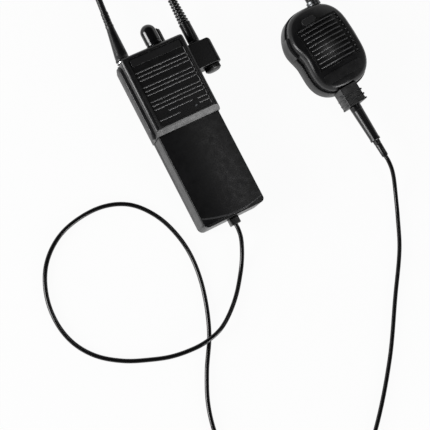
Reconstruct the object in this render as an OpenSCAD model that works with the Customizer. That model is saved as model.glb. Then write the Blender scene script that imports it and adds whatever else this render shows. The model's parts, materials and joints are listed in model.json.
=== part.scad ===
// Hand-held scanner radio with its speaker microphone and leads, lying on a table.
// X runs across the radio, Y along it towards the antenna, Z up out of its front.
// The origin is the middle of the radio's flat back. Millimetres throughout.

/* [Radio case] */
// Width of the head of the radio
head_w = 71; // [66:1:86]
// Width of the lower body
body_w = 69; // [62:1:82]
// Length of the case from base to top
case_len = 188; // [184:1:230]
// Length of the head
head_len = 86; // [84:1:104]
// Thickness of the head
head_t = 38; // [36:0.5:46]
// Thickness of the lower body
body_t = 32; // [30:0.5:38]
// Thickness of the rear case
rear_t = 9; // [8:0.5:10]
// Wall of the radio's mouldings
wall = 2.4; // [1.8:0.1:3]
// Front wall of the head, behind the grille
front_wall = 4; // [3.4:0.1:5]
// Corner radius of the case seen from the front
corner_r = 6; // [4:0.5:10]
// Rounding of the front edges
edge_r = 4.5; // [3:0.5:6]
// Crown radius of the lower front
crown_r = 300; // [200:10:600]
// Run of the sloped ledge below the head
ledge_run = 5.5; // [4:0.5:8]
// Thickness of the base cap
base_t = 2.5; // [2:0.1:4]

/* [Grille] */
// Width of the grille panel
panel_w = 59; // [50:1:62]
// Length of the grille panel
panel_len = 75; // [72:1:78]
// Depth of the panel's pocket
pocket_d = 2.2; // [2:0.1:2.8]
// Thickness of the panel's plate
panel_t = 1; // [0.8:0.1:1.2]
// Rib spacing within a group
rib_pitch = 4.25; // [3.8:0.05:4.6]
// Spacing of the groups of ribs
group_pitch = 16.2; // [15:0.1:17]
// Width of a rib
rib_w = 1.3; // [0.8:0.1:1.6]
// Diameter of the radio's speaker
speaker_d = 46; // [36:1:50]
// Diameter of the status lens
lens_d = 2; // [1.6:0.1:4]

/* [Controls] */
// Length of the push-to-talk pad
ptt_len = 80; // [60:1:80]
// Height of the push-to-talk pad
ptt_h = 16; // [12:1:18]
// How far the pad stands out of the side
ptt_proud = 3; // [1.6:0.2:4]
// Travel of both talk keys
key_travel = 1.2; // [0.8:0.1:1.4]
// Diameter of the volume knob
volume_d = 16.4; // [13:0.2:18]
// Length of the volume knob
volume_len = 23; // [18:1:30]
// Diameter of the channel selector knob
selector_d = 15; // [12:0.2:16]
// Length of the channel selector knob
selector_len = 19; // [15:1:22]
// Diameter of the control shafts
shaft_d = 6; // [4:0.5:6.5]

/* [Antenna] */
// Lean of the antenna towards the middle, in degrees
antenna_lean = 5.6; // [0:1:8]
// Diameter of the antenna's foot
antenna_d = 15.5; // [11:0.5:15.5]
// Diameter of the whip
whip_d = 6.6; // [5:0.2:8]
// Length of the whole antenna
antenna_len = 165; // [120:5:240]

/* [Side connector] */
// Width of the connector block, out from the case
block_w = 26.5; // [24:0.5:30]
// Length of the connector block
block_len = 27; // [24:1:32]
// Height of the connector block
block_h = 22; // [18:1:24]
// Diameter of the coin screw
coin_d = 17; // [14:0.5:18]

/* [Speaker microphone] */
// Width of the microphone
mic_w = 67; // [60:1:81]
// Length of the microphone
mic_len = 96; // [92:1:110]
// Thickness of the microphone
mic_t = 38; // [36:0.5:44]
// Thickness of its rear shell
mic_rear_t = 16; // [15:0.5:17]
// Wall of the microphone's shells
mic_wall = 2.2; // [1.8:0.1:2.6]
// Crown radius of the microphone's front
mic_dome_r = 95; // [85:1:120]
// Diameter of the microphone's speaker
mic_speaker_d = 40; // [30:1:42]
// Number of grille ribs
mic_ribs = 10; // [6:1:10]

/* [Leads] */
// Diameter of the main lead
lead_d = 4.5; // [3.5:0.1:5.4]
// Spacing of the rings that shape a lead
ring_pitch = 24; // [20:1:40]

/* [Hidden] */
$fn = 48;

// Clearances
slip = 0.05;      // running clearance of a shaft, on the radius
gap = 0.3;        // clearance of a sliding key, all round
seat = 0.02;      // clearance of a piece that is seated in a pocket
eps = 0.01;       // overshoot of a cut

// Planes of the radio case
top_y = case_len / 2;
base_y = -case_len / 2;
split_y = top_y - head_len;
floor_y = base_y + base_t;
inner_z = head_t - front_wall;
pocket_z = head_t - pocket_d;
body_roof = body_t - wall - 2;

// Grille
panel_x = 1;
panel_y = split_y + 6.5 + panel_len / 2;
cloth_t = 0.3;
plate_z = pocket_z + cloth_t;
rib_top = head_t;
rib_x0 = panel_x - panel_w / 2 + 1;
rib_x1 = panel_x + panel_w / 2 - 1;
first_rib_y = top_y - 20.3;
band_rib_y = first_rib_y - 3 * group_pitch + 2.1;
speaker_y = first_rib_y - group_pitch - rib_pitch;
label_w = 56;
label_h = 7.6;
label_y = panel_y + panel_len / 2 - 1.2 - label_h / 2;
lens_x = 13.7;
lens_y = split_y + 12.5;

// Screws
screw_r = 1.5;
screw_head_r = 2.8;
screw_head_h = 2.2;
screw_sink = 2.6;
boss_r = 3.4;
boss_x = 26.5;
head_boss_y = [top_y - 10, split_y + 14];
body_boss_x = body_w / 2 - wall - 2.6;
body_boss_y = [split_y - 18, floor_y + 7];
screw_len = 14;
clip_pitch = 32;
insert_r = 2.3;
insert_bore_r = 1.25;
insert_len = 4;
base_screw_x = 20;
base_screw_r = 1.25;

// Board and what stands on it
board_t = 1.6;
board_z = rear_t;
board_top = board_z + board_t;
board_y0 = split_y + 5;
board_y1 = top_y - 18;
board_w = head_w - 12;

// Push-to-talk key
ptt_y = split_y + 2 + ptt_len / 2;
ptt_z = 20;
ptt_flange_t = 1.3;
ptt_flange = 1.6;
seal_w = 1.4;

// Controls on the top
volume_x = 7;
volume_z = 27;
selector_x = 16;
selector_z = 11;
pot_r = 6.4;
pot_len = 10;
bush_r = 4.4;
shaft_r = shaft_d / 2;
knob_lift = 1;
shaft_out = 13;

// Antenna
antenna_x = -27.5;
antenna_z = 18;
bush_h = 1.2;
antenna_shank_r = 4;
antenna_shank = 4;
cone_len = 41;
cone_tip_r = 4;
bead_pitch = 3.6;
bead_r = 4.5;
beads = 4;

// Side connector
block_x0 = head_w / 2;
block_y0 = top_y - 40;
block_y1 = block_y0 + block_len;
block_z = 20;
block_round = 5;
coin_x = block_x0 + block_w - coin_d / 2 - 0.8;
coin_t = 5.4;
coin_shank_r = 4;
coin_shank = 14;
boot_x = block_x0 + 12;
boot_len = 25;
relief_len = 28;
relief_ribs = 8;
socket_y = block_y0 + block_len / 2;
socket_len = 16;
socket_h = 8;
socket_in = 4.5;

// Cells
cell_r = 7.25;
cell_len = 50.5;
cells = 6;
cell_pitch = 14.6;
cell_y0 = floor_y + wall + 6.5 + cell_r;
cell_z = 17;
tray_w = 60;
tray_end = 3;

// Speaker microphone: its own frame, its middle placed on the table beside the radio
mic_x = 173;
mic_y = 22;
mic_yaw = 4;
mic_off = 1.5;
mic_corner = 24;
grip_x = -10;
grip_y = 15;
grip_r = 26;
mic_inset = 1.5;
gasket_t = 2.2;
mic_front_z = mic_rear_t + gasket_t;
dome_z = mic_t - mic_dome_r;
mic_rib_pitch = 4.95;
mic_rib_y = 25.6;
mic_rib_x0 = -22;
mic_rib_x1 = 22;
mic_speaker_y = 2;
mic_screw_x = 21;
mic_screw_y = 34;
mic_screw_len = 18;
mic_board_z = 12;
mic_board_top = mic_board_z + board_t;
mic_key_y0 = 4;
mic_key_y1 = 27;
mic_key_z0 = 10;
mic_key_z1 = 24;
mic_key_proud = 1.6;
mic_key_in = mic_inset + mic_wall + gap;
mic_key_flange_t = 1.8;
mic_gasket_w = 1.6;
pill_x = -6;
pill_y = 31.3;
pill_w = 16.4;
pill_h = 7.4;
pill_travel = 0.8;
pill_top = dome_z + sqrt(pow(mic_dome_r, 2) - pow(33, 2)) + 1.9;
pill_flange_z = dome_z + sqrt(pow(mic_dome_r - mic_wall - 0.3, 2) - pow(41, 2)) - 0.4;
pill_flange_t = 1.2;
mic_label_x = -1;
mic_label_y = -32;
cord_block_x = -4;
cord_block_w = 20.4;
cord_block_z0 = 7;
cord_block_z1 = 28;
cord_block_y = -mic_len / 2 - 19.5;
relief_x = -5;
relief_z = 17;
relief_run = 42.5;
crimp_run = 19;
collar_x = 16.4;
collar_y = 51;
top_boot_run = 28;

// A point of the microphone's own frame, on the table
function mic_point(x, y) =
    [mic_x + x * cos(mic_yaw) - y * sin(mic_yaw), mic_y + x * sin(mic_yaw) + y * cos(mic_yaw), relief_z];

// Main lead: from the gland, over its own loop, round the loop, along the table and back to the
// microphone. Each point is the middle of the lead; its two ends lie on the pieces that hold it.
lead_r = lead_d / 2;
table_z = lead_r + 0.25;
cross_z = table_z + lead_d + 0.6;
gland_len = 7.5;
gland_z = 14;
main_out = 5;
main_lay = [0, base_y + 94, 0];
lead_route = concat(
    [[0, base_y - gland_len, gland_z], [0, base_y - gland_len - main_out, gland_z]],
    [for (p = [
        [-1, -115, 12.4], [-4, -125, 8.4], [-9, -136, 4.6], [-16, -147, table_z + 0.3], [-30, -164, table_z + 0.9],
        [-46, -178, cross_z - 2.4], [-61, -187, cross_z - 0.6], [-76, -191, cross_z],
        [-92, -192, cross_z - 1.2], [-115, -189, table_z + 0.9],
        [-136, -182, table_z], [-160, -171, table_z], [-182, -154, table_z], [-196, -132, table_z],
        [-201, -106, table_z], [-197, -78, table_z], [-184, -53, table_z], [-162, -35, table_z],
        [-136, -27, table_z], [-108, -27, table_z], [-84, -37, table_z], [-66, -58, table_z],
        [-56, -84, table_z], [-53, -112, table_z], [-58, -146, table_z], [-72, -185, table_z],
        [-92, -218, table_z], [-106, -248, table_z], [-113, -280, table_z], [-113, -310, table_z],
        [-103, -338, table_z], [-84, -361, table_z], [-57, -376, table_z], [-27, -380, table_z],
        [3, -371, table_z], [34, -348, table_z], [82, -294, table_z], [120, -240, table_z],
        [148, -200, table_z]
    ]) p + main_lay],
    [
        [164, -168, table_z], [171, -151, 4], [174.5, -140, 7], [176.8, -130, 11], [177.6, -121, 14.8],
        mic_point(relief_x, cord_block_y - relief_run - crimp_run - main_out),
        mic_point(relief_x, cord_block_y - relief_run - crimp_run)
    ]
);
// Upper lead: from the side connector, over the table and down to the top of the microphone
upper_lay = [boot_x - 47.5, block_y1 + boot_len + relief_len - 134, 0];
upper_route = concat(
    [
        [boot_x, block_y1 + boot_len + relief_len, block_z],
        [boot_x, block_y1 + boot_len + relief_len + main_out, block_z]
    ],
    [for (p = [
        [47.8, 148, 18.2], [48.8, 158, 13.2], [51, 168, 7.4], [55, 179, 3.4], [63, 191, table_z]
    ]) p + upper_lay],
    [
        [75, 202, table_z], [91, 209, table_z], [109, 212, table_z], [128, 209, table_z],
        [146, 201, table_z], [161, 188, table_z], [172, 172, 2.6], [179, 157, 4.4], [182, 145, 7.6],
        [183.2, 134, 11.6], [183.5, 124, 14.6], [183.4, 115, 16.6]
    ],
    [
        mic_point(collar_x, collar_y + top_boot_run + main_out),
        mic_point(collar_x, collar_y + top_boot_run)
    ]
);

// ---------- shared shapes ----------

// Rectangle with round corners, about the origin
module round_rect(w, l, r) {
    square([w - 2 * r, l], center = true);
    square([w, l - 2 * r], center = true);
    for (x = [-1, 1], y = [-1, 1]) translate([x * (w / 2 - r), y * (l / 2 - r)]) circle(r);
}

// Slot outline with round ends, l long and w across
module stadium(l, w) {
    square([l - w, w], center = true);
    for (x = [-1, 1]) translate([x * (l - w) / 2, 0]) circle(w / 2);
}

// A flat outline raised between two heights
module slab(z0, z1) {
    translate([0, 0, z0]) linear_extrude(z1 - z0) children();
}

// Stands its child's Z along +Y, from the point given
module along_y(x, y, z) {
    translate([x, y, z]) rotate([-90, 0, 0]) children();
}

// Stands its child's Z along +X, from the point given
module along_x(x, y, z) {
    translate([x, y, z]) rotate([0, 90, 0]) children();
}

// Everything on one side of a line across the radio, as an outline
module band(y0, y1) {
    translate([-200, y0]) square([400, y1 - y0]);
}

// ---------- radio case ----------

module head_plan(inset, y0) {
    intersection() {
        round_rect(head_w - 2 * inset, case_len - 2 * inset, max(corner_r - inset, 0.5));
        band(y0, top_y);
    }
}

module body_plan(inset, y1) {
    intersection() {
        round_rect(body_w - 2 * inset, case_len - 2 * inset, max(corner_r - inset, 0.5));
        band(floor_y + inset, y1);
    }
}

// Front section of a cover: a rectangle with its two front corners round
module front_section(w, z0, t) {
    translate([-w / 2, z0]) square([w, t - edge_r - z0]);
    translate([-w / 2 + edge_r, z0]) square([w - 2 * edge_r, t - z0]);
    for (x = [-1, 1]) translate([x * (w / 2 - edge_r), t - edge_r]) circle(edge_r);
}

module section_along_y(y0, y1) {
    translate([0, y1, 0]) rotate([90, 0, 0]) linear_extrude(y1 - y0) children();
}

// Side profile of the head, with the ledge at its foot and the round top edge
module head_profile() {
    polygon([
        [split_y, rear_t], [split_y, body_t], [split_y + ledge_run, head_t], [top_y - edge_r, head_t],
        [top_y - edge_r, head_t - edge_r], [top_y, head_t - edge_r], [top_y, rear_t]
    ]);
    translate([top_y - edge_r, head_t - edge_r]) circle(edge_r);
}

module control_hole(x, z) {
    along_y(x, top_y - wall - 1, z) cylinder(r = bush_r + seat, h = wall + 2);
}

module rear_case() color("#1b1c1f") {
    difference() {
        slab(0, rear_t) {
            head_plan(0, split_y);
            body_plan(0, split_y);
        }
        difference() {
            slab(wall, rear_t + 1) {
                head_plan(wall, split_y - 1);
                body_plan(wall, split_y);
            }
            for (p = case_bosses()) translate([p[0], p[1], 0]) cylinder(r = boss_r, h = rear_t);
            for (y = [-1, 1]) translate([0, y * clip_pitch / 2, 0])
                cylinder(r = boss_r + 0.8, h = insert_len + 1);
            for (x = [-1, 1]) translate([x * boss_x, board_y1 - 6, 0]) cylinder(r = boss_r, h = board_z);
        }
        for (p = case_bosses()) translate([p[0], p[1], 0]) {
            translate([0, 0, -1]) cylinder(r = screw_head_r + gap, h = screw_sink + 1);
            translate([0, 0, -1]) cylinder(r = screw_r + seat, h = rear_t + 2);
        }
        for (y = [-1, 1]) translate([0, y * clip_pitch / 2, -1]) cylinder(r = insert_r, h = insert_len + 1);
        control_hole(selector_x, selector_z);
    }
}

function case_bosses() = [
    for (y = head_boss_y, x = [-boss_x, boss_x]) [x, y],
    for (y = body_boss_y, x = [-body_boss_x, body_boss_x]) [x, y]
];

module head_cover() color("#1b1c1f") {
    difference() {
        intersection() {
            slab(rear_t, head_t) head_plan(0, split_y);
            section_along_y(split_y, top_y) front_section(head_w, rear_t, head_t);
            translate([-head_w / 2, 0, 0]) rotate([90, 0, 90]) linear_extrude(head_w) head_profile();
        }
        difference() {
            union() {
                slab(rear_t - 1, body_t - wall) head_plan(wall, split_y - 1);
                slab(rear_t - 1, inner_z) head_plan(wall, split_y + ledge_run + wall);
            }
            for (x = [-1, 1]) translate([x * boss_x, head_boss_y[0], rear_t])
                cylinder(r = boss_r, h = head_t);
            for (x = [-1, 1]) translate([x * boss_x, head_boss_y[1], board_top])
                cylinder(r = boss_r, h = head_t);
        }
        for (y = head_boss_y, x = [-1, 1]) translate([x * boss_x, y, 0])
            cylinder(r = screw_r + seat, h = screw_sink + screw_len + 1);
        slab(pocket_z, head_t + 1) translate([panel_x, panel_y])
            round_rect(panel_w + 2 * seat, panel_len + 2 * seat, 3);
        slab(inner_z - 1, head_t) translate([0, speaker_y]) circle(d = speaker_d - 6);
        translate([lens_x, lens_y, inner_z - 4]) cylinder(d = lens_d + 2 * seat, h = head_t);
        control_hole(volume_x, volume_z);
        control_hole(selector_x, selector_z);
        along_y(antenna_x, top_y - wall - 1, antenna_z) cylinder(r = antenna_shank_r + seat, h = wall + 2);
        along_x(-head_w / 2 - 1, ptt_y, ptt_z) linear_extrude(wall + 2) ptt_outline(seal_w);
        translate([head_w / 2 - wall - 1, socket_y - socket_len / 2 - seat, ptt_z - socket_h / 2 - seat])
            cube([wall + 2, socket_len + 2 * seat, socket_h + 2 * seat]);
    }
}

module body_cover() color("#17181b") {
    difference() {
        intersection() {
            slab(rear_t, body_t) body_plan(0, split_y);
            section_along_y(base_y, split_y) front_section(body_w, rear_t, body_t);
            along_y(0, base_y, body_t - crown_r) cylinder(r = crown_r, h = case_len, $fn = 200);
        }
        difference() {
            slab(rear_t - 1, body_roof) body_plan(wall, split_y + 1);
            for (y = body_boss_y, x = [-1, 1]) translate([x * body_boss_x, y, rear_t])
                cylinder(r = boss_r, h = body_t);
            for (x = [-1, 1]) along_y(x * base_screw_x, floor_y, ptt_z) cylinder(r = boss_r, h = 6);
        }
        for (y = body_boss_y, x = [-1, 1]) translate([x * body_boss_x, y, 0])
            cylinder(r = screw_r + seat, h = screw_sink + screw_len + 1);
        for (x = [-1, 1]) along_y(x * base_screw_x, floor_y - 1, ptt_z)
            cylinder(r = base_screw_r + seat, h = 9);
        along_y(0, floor_y - 1, gland_z) cylinder(r = 3.4 + seat, h = wall + 2);
    }
}

module base_cap() color("#1b1c1f") {
    difference() {
        intersection() {
            slab(0, body_t) intersection() {
                round_rect(body_w, case_len, corner_r);
                band(base_y, floor_y);
            }
            section_along_y(base_y, floor_y) front_section(body_w, 0, body_t - 0.6);
        }
        for (x = [-1, 1]) along_y(x * base_screw_x, base_y - 1, ptt_z) {
            cylinder(r = base_screw_r + seat, h = base_t + 2);
            cylinder(r = 2.4 + seat, h = 1 + 1.4);
        }
        along_y(0, base_y - 1, gland_z) cylinder(r = 3.4 + seat, h = base_t + 2);
    }
}

module base_gland() color("#0d0d0e") {
    difference() {
        union() {
            section_along_y(base_y - gland_len, base_y) translate([0, gland_z]) round_rect(10.4, 10.4, 1.5);
            along_y(0, base_y, gland_z) cylinder(r = 3.4, h = base_t + wall + 1);
        }
        along_y(0, base_y - 4, gland_z) cylinder(r = 1.6, h = 12);
    }
}

// ---------- grille ----------

module rib(x0, x1, y) {
    translate([x0, y - rib_w / 2, plate_z + panel_t - eps])
        cube([x1 - x0, rib_w, rib_top - plate_z - panel_t + eps]);
}

module grille_panel() color("#131416") {
    difference() {
        slab(plate_z, plate_z + panel_t) translate([panel_x, panel_y]) round_rect(panel_w, panel_len, 3);
        for (g = [0:2], i = [0:1])
            slab(plate_z - 1, head_t) translate([0, first_rib_y - g * group_pitch - (i + 0.5) * rib_pitch])
                stadium(speaker_d - 8, 1.8);
        translate([lens_x, lens_y, plate_z - 1]) cylinder(d = lens_d + 2 * seat, h = 3);
    }
    for (g = [0:2], i = [0:2])
        rib(rib_x0, rib_x1, first_rib_y - g * group_pitch - i * rib_pitch);
    rib(panel_x - 15, panel_x + 12, band_rib_y);
    rib(panel_x + 17, rib_x1, band_rib_y - 0.8);
    rib(panel_x + 17, rib_x1, band_rib_y - 5.4);
    rib(rib_x0, panel_x - 5, band_rib_y - 6.4);
}

module speaker_cloth() color("#0b0b0b") {
    difference() {
        slab(pocket_z, plate_z) translate([panel_x, panel_y]) round_rect(panel_w - 0.6, panel_len - 0.6, 2.7);
        translate([lens_x, lens_y, pocket_z - 1]) cylinder(d = lens_d + 2 * seat, h = 3);
    }
}

module label_plate() color("#202124") {
    slab(plate_z + panel_t, head_t - 0.2) translate([panel_x, label_y]) round_rect(label_w, label_h, 1.6);
}

module status_lens() color("#c8ccd0") {
    translate([lens_x, lens_y, inner_z - 1]) cylinder(d = lens_d, h = head_t - inner_z + 0.8);
}

// Round loudspeaker, its rim uppermost at z = 0, reaching down to -depth
module loudspeaker(d, depth) {
    rotate_extrude() polygon([
        [0, -depth], [d * 0.24, -depth], [d * 0.24, -depth * 0.55], [d * 0.44, -3], [d / 2, -3], [d / 2, 0],
        [d / 2 - 3, 0], [d / 2 - 3, -1], [d * 0.2, -4.5], [d * 0.12, -4.5], [0, -3.2]
    ]);
}

module radio_speaker() color("#3a3b3d") {
    translate([0, speaker_y, inner_z]) loudspeaker(speaker_d, 15);
}

// ---------- inside the radio ----------

module circuit_board() color("#1f4d33") {
    difference() {
        slab(board_z, board_top) translate([0, (board_y0 + board_y1) / 2])
            round_rect(board_w, board_y1 - board_y0, 2);
        for (x = [-1, 1]) translate([x * boss_x, head_boss_y[1], 0])
            cylinder(r = screw_r + 0.2, h = board_top + 1);
    }
    translate([-12, board_y0 + 16, board_top - eps]) cube([12, 12, 1.5]);
    translate([4, board_y0 + 14, board_top - eps]) cube([9, 6, 1.2]);
    for (i = [0:4]) translate([-14 + i * 6, board_y0 + 6, board_top - eps]) cube([3, 4, 2]);
}

module rf_shield() color("silver") {
    difference() {
        slab(board_top, board_top + 5) translate([2, board_y1 - 20]) round_rect(34, 26, 1);
        slab(board_top - 1, board_top + 4.5) translate([2, board_y1 - 20]) round_rect(33, 25, 0.6);
    }
}

module battery_tray() color("#2b2c30") {
    difference() {
        translate([-tray_w / 2, cell_y0 - cell_r - 1, wall])
            cube([tray_w, cells * cell_pitch + 2 - (cell_pitch - 2 * cell_r), cell_z + 5 - wall]);
        translate([-tray_w / 2 + tray_end, cell_y0 - cell_r - 2, cell_z - 1])
            cube([tray_w - 2 * tray_end, cells * cell_pitch + 4, 20]);
        for (i = [0:cells - 1]) along_x(-tray_w / 2 + tray_end, cell_y0 + i * cell_pitch, cell_z)
            cylinder(r = cell_r + 0.04, h = tray_w - 2 * tray_end);
        for (p = case_bosses()) translate([p[0], p[1], 0]) cylinder(r = boss_r + 0.4, h = body_t);
        for (y = [-1, 1]) translate([0, y * clip_pitch / 2, 0])
            cylinder(r = boss_r + 1.2, h = insert_len + 1.4);
    }
}

module battery_cells() color("#9aa3a8") {
    for (i = [0:cells - 1]) along_x(-cell_len / 2, cell_y0 + i * cell_pitch, cell_z) {
        cylinder(r = cell_r, h = cell_len - 1);
        cylinder(r = 2.75, h = cell_len);
    }
}

module cell_contacts() color("gold") {
    for (i = [0:cells - 1], x = [-1, 1])
        translate([x * (tray_w / 2 - tray_end - 0.25) - 0.25, cell_y0 + i * cell_pitch - 3, cell_z - 3])
            cube([0.5, 6, 7]);
}

// Machine screw, its head's face at z = 0 and its shank upwards
module screw(head_r, head_h, r, l) {
    difference() {
        union() {
            cylinder(r = head_r, h = head_h);
            cylinder(r = r, h = head_h + l);
        }
        for (a = [0, 90]) rotate([0, 0, a]) translate([-head_r * 0.7, -0.35, -1])
            cube([head_r * 1.4, 0.7, 2]);
    }
}

module case_screws() color("#55585c") {
    for (p = case_bosses()) translate([p[0], p[1], screw_sink - screw_head_h])
        screw(screw_head_r, screw_head_h, screw_r, screw_len);
}

module base_screws() color("#55585c") {
    for (x = [-1, 1]) along_y(x * base_screw_x, base_y, ptt_z) screw(2.4, 1.4, base_screw_r, 6);
}

module clip_inserts() color("#c9a227") {
    for (y = [-1, 1]) translate([0, y * clip_pitch / 2, 0]) difference() {
        cylinder(r = insert_r, h = insert_len);
        translate([0, 0, -1]) cylinder(r = insert_bore_r, h = insert_len + 2);
    }
}

// ---------- push-to-talk key ----------

// Outline of the key, grown by a margin, ready to stand out of the side
module ptt_outline(grow) {
    rotate(90) stadium(ptt_len + 2 * grow, ptt_h + 2 * grow);
}

module ptt_seal() color("#08080a") {
    along_x(-head_w / 2 - 0.5, ptt_y, ptt_z) linear_extrude(wall + 0.5) difference() {
        ptt_outline(seal_w - seat);
        ptt_outline(gap);
    }
}

module ptt_pad() color("#2a2b2e") {
    inner_x = -head_w / 2 + wall + gap;
    along_x(-head_w / 2 - ptt_proud, ptt_y, ptt_z)
        linear_extrude(inner_x + head_w / 2 + ptt_proud) ptt_outline(0);
    along_x(inner_x, ptt_y, ptt_z) linear_extrude(ptt_flange_t) intersection() {
        ptt_outline(ptt_flange);
        square([ptt_h + 2 * ptt_flange, 2 * (ptt_len / 2 - 1)], center = true);
    }
}

module ptt_switch() color("#5a5d60") {
    tip_x = -head_w / 2 + wall + gap + ptt_flange_t + key_travel + 0.1;
    translate([tip_x + 1, ptt_y - 6, board_top]) cube([4, 12, 12]);
    along_x(tip_x, ptt_y, ptt_z - 2) cylinder(r = 1.8, h = 1 + eps);
}

// ---------- controls on the top ----------

module control_body(x, z) {
    difference() {
        union() {
            along_y(x, top_y - wall - pot_len, z) cylinder(r = pot_r, h = pot_len);
            along_y(x, top_y - wall - eps, z) cylinder(r = bush_r, h = wall + 0.4);
        }
        along_y(x, top_y - wall - pot_len + 1.5, z) cylinder(r = shaft_r + slip, h = pot_len + wall + 2);
    }
}

module control_shaft(x, z) {
    along_y(x, top_y - wall - pot_len + 2, z) cylinder(r = shaft_r, h = pot_len + wall - 2 + shaft_out);
}

module volume_pot() color("#77797c") control_body(volume_x, volume_z);

module volume_shaft() color("silver") control_shaft(volume_x, volume_z);

module volume_knob() color("#17181a") {
    r = volume_d / 2;
    difference() {
        along_y(volume_x, top_y + knob_lift, volume_z) {
            cylinder(r = r, h = volume_len - r);
            translate([0, 0, volume_len - r]) intersection() {
                sphere(r);
                cylinder(r = r, h = r);
            }
        }
        along_y(volume_x, top_y, volume_z) cylinder(r = shaft_r, h = shaft_out);
    }
}

module selector_switch() color("#77797c") control_body(selector_x, selector_z);

module selector_shaft() color("silver") control_shaft(selector_x, selector_z);

module selector_knob() color("#17181a") {
    r = selector_d / 2;
    difference() {
        along_y(selector_x, top_y + knob_lift, selector_z) {
            cylinder(r = r, h = selector_len - 1.5);
            cylinder(r = r - 1.5, h = selector_len);
            for (a = [0:30:330]) rotate([0, 0, a]) translate([r - 0.9, -0.8, 1])
                cube([1.1, 1.6, selector_len - 4]);
        }
        along_y(selector_x, top_y, selector_z) cylinder(r = shaft_r, h = shaft_out);
    }
}

// ---------- antenna ----------

// Turns its child to lie along the leaning antenna, from the antenna's foot
module along_antenna() {
    translate([antenna_x, top_y, antenna_z]) rotate([0, 0, -antenna_lean]) rotate([-90, 0, 0]) children();
}

module antenna_bush() color("#8c8f92") {
    along_y(antenna_x, top_y, antenna_z) cylinder(r = antenna_d / 2 - 0.6, h = bush_h);
    along_y(antenna_x, top_y - antenna_shank, antenna_z)
        cylinder(r = antenna_shank_r, h = antenna_shank + eps);
}

module antenna_base() color("#151617") {
    difference() {
        along_antenna() cylinder(r1 = antenna_d / 2, r2 = cone_tip_r, h = cone_len);
        translate([antenna_x - 20, top_y - 10, antenna_z - 20]) cube([40, 10 + bush_h, 40]);
    }
}

module antenna_whip() color("#121313") {
    along_antenna() {
        translate([0, 0, cone_len]) cylinder(d = whip_d, h = antenna_len - cone_len - whip_d / 2);
        for (i = [0:beads - 1]) translate([0, 0, cone_len + 0.6 + i * bead_pitch])
            rotate_extrude() polygon([
                [0, 0], [bead_r - 0.9 - i * 0.2, 0], [bead_r - i * 0.2, 0.8], [bead_r - i * 0.2, 1.8],
                [bead_r - 0.9 - i * 0.2, 2.6], [0, 2.6]
            ]);
        translate([0, 0, antenna_len - whip_d / 2]) sphere(d = whip_d);
    }
}

// ---------- side connector ----------

module side_socket() color("#b08d2e") {
    translate([head_w / 2 - socket_in, socket_y - socket_len / 2, ptt_z - socket_h / 2])
        cube([socket_in, socket_len, socket_h]);
}

module connector_block() color("#131416") {
    difference() {
        intersection() {
            slab(block_z - block_h / 2, block_z + block_h / 2)
                translate([block_x0 - block_round, block_y0]) {
                    square([block_w, block_len]);
                    square([block_w + block_round, block_len - block_round]);
                    translate([block_w, block_len - block_round]) circle(block_round);
                }
            translate([0, block_y1, 0]) rotate([90, 0, 0]) linear_extrude(block_len)
                translate([block_x0, block_z - block_h / 2]) {
                    square([block_w - block_round, block_h]);
                    translate([0, block_round]) square([block_w, block_h - 2 * block_round]);
                    for (z = [block_round, block_h - block_round]) translate([block_w - block_round, z])
                        circle(block_round);
                }
        }
        along_y(coin_x, block_y0 - 1, block_z) cylinder(r = coin_shank_r + slip, h = coin_shank + 1.5);
    }
}

module coin_screw() color("#9b9da0") {
    along_y(coin_x, block_y0 - gap - coin_t, block_z) difference() {
        union() {
            cylinder(r1 = coin_d / 2 - 1.5, r2 = coin_d / 2, h = 1.5);
            translate([0, 0, 1.5 - eps]) cylinder(d = coin_d, h = coin_t - 1.5 + eps);
            cylinder(r = coin_shank_r, h = coin_t + gap + coin_shank);
        }
        translate([-coin_d * 0.4, -0.9, -1]) cube([coin_d * 0.8, 1.8, 2.4]);
    }
}

module cable_boot() color("#1a1b1d") {
    along_y(boot_x, block_y1, block_z) {
        cylinder(r1 = 6.2, r2 = 5.8, h = boot_len);
        translate([0, 0, boot_len - 1.6]) cylinder(r = 6.1, h = 1.6);
    }
}

module ribbed_relief() color("#232426") {
    pitch = relief_len / relief_ribs;
    along_y(boot_x, block_y1 + boot_len, block_z) {
        cylinder(r = 3.5, h = relief_len);
        for (i = [0:relief_ribs - 1]) translate([0, 0, i * pitch + pitch - 2.4])
            cylinder(r1 = 5.7 - i * 0.17, r2 = 5.6 - i * 0.17, h = 2.4);
    }
}

// ---------- speaker microphone ----------

module at_mic() {
    translate([mic_x, mic_y, 0]) rotate([0, 0, mic_yaw]) children();
}

module mic_plan(inset) {
    translate([mic_off, 0]) round_rect(mic_w - 2 * inset, mic_len - 2 * inset, mic_corner - inset);
    translate([grip_x, grip_y]) circle(grip_r - inset);
}

module dome(r) {
    translate([0, 0, dome_z]) sphere(r, $fn = 96);
}

// Outline of the curved talk key: a slice of a ring about the grip
module mic_key_plan(r_in, r_out, grow) {
    intersection() {
        translate([grip_x, grip_y]) difference() {
            circle(r_out);
            circle(r_in);
        }
        translate([grip_x - 60, mic_key_y0 - grow]) square([60, mic_key_y1 - mic_key_y0 + 2 * grow]);
    }
}

module mic_key_cut() {
    slab(mic_key_z0 - gap, mic_key_z1 + gap) mic_key_plan(grip_r - 6, grip_r + 4, gap);
}

module mic_bosses(r, z0, z1) {
    for (x = [-1, 1], y = [-1, 1])
        translate([mic_off + x * mic_screw_x, y * mic_screw_y, z0]) cylinder(r = r, h = z1 - z0);
}

module mic_rear_shell() color("#222326") at_mic() {
    difference() {
        slab(0, mic_rear_t) mic_plan(0);
        difference() {
            slab(mic_wall, mic_rear_t + 1) mic_plan(mic_wall);
            mic_bosses(boss_r, 0, mic_board_z);
        }
        mic_bosses(screw_head_r + gap, -1, screw_sink);
        mic_bosses(screw_r + seat, -1, mic_rear_t);
        mic_key_cut();
    }
}

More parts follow.
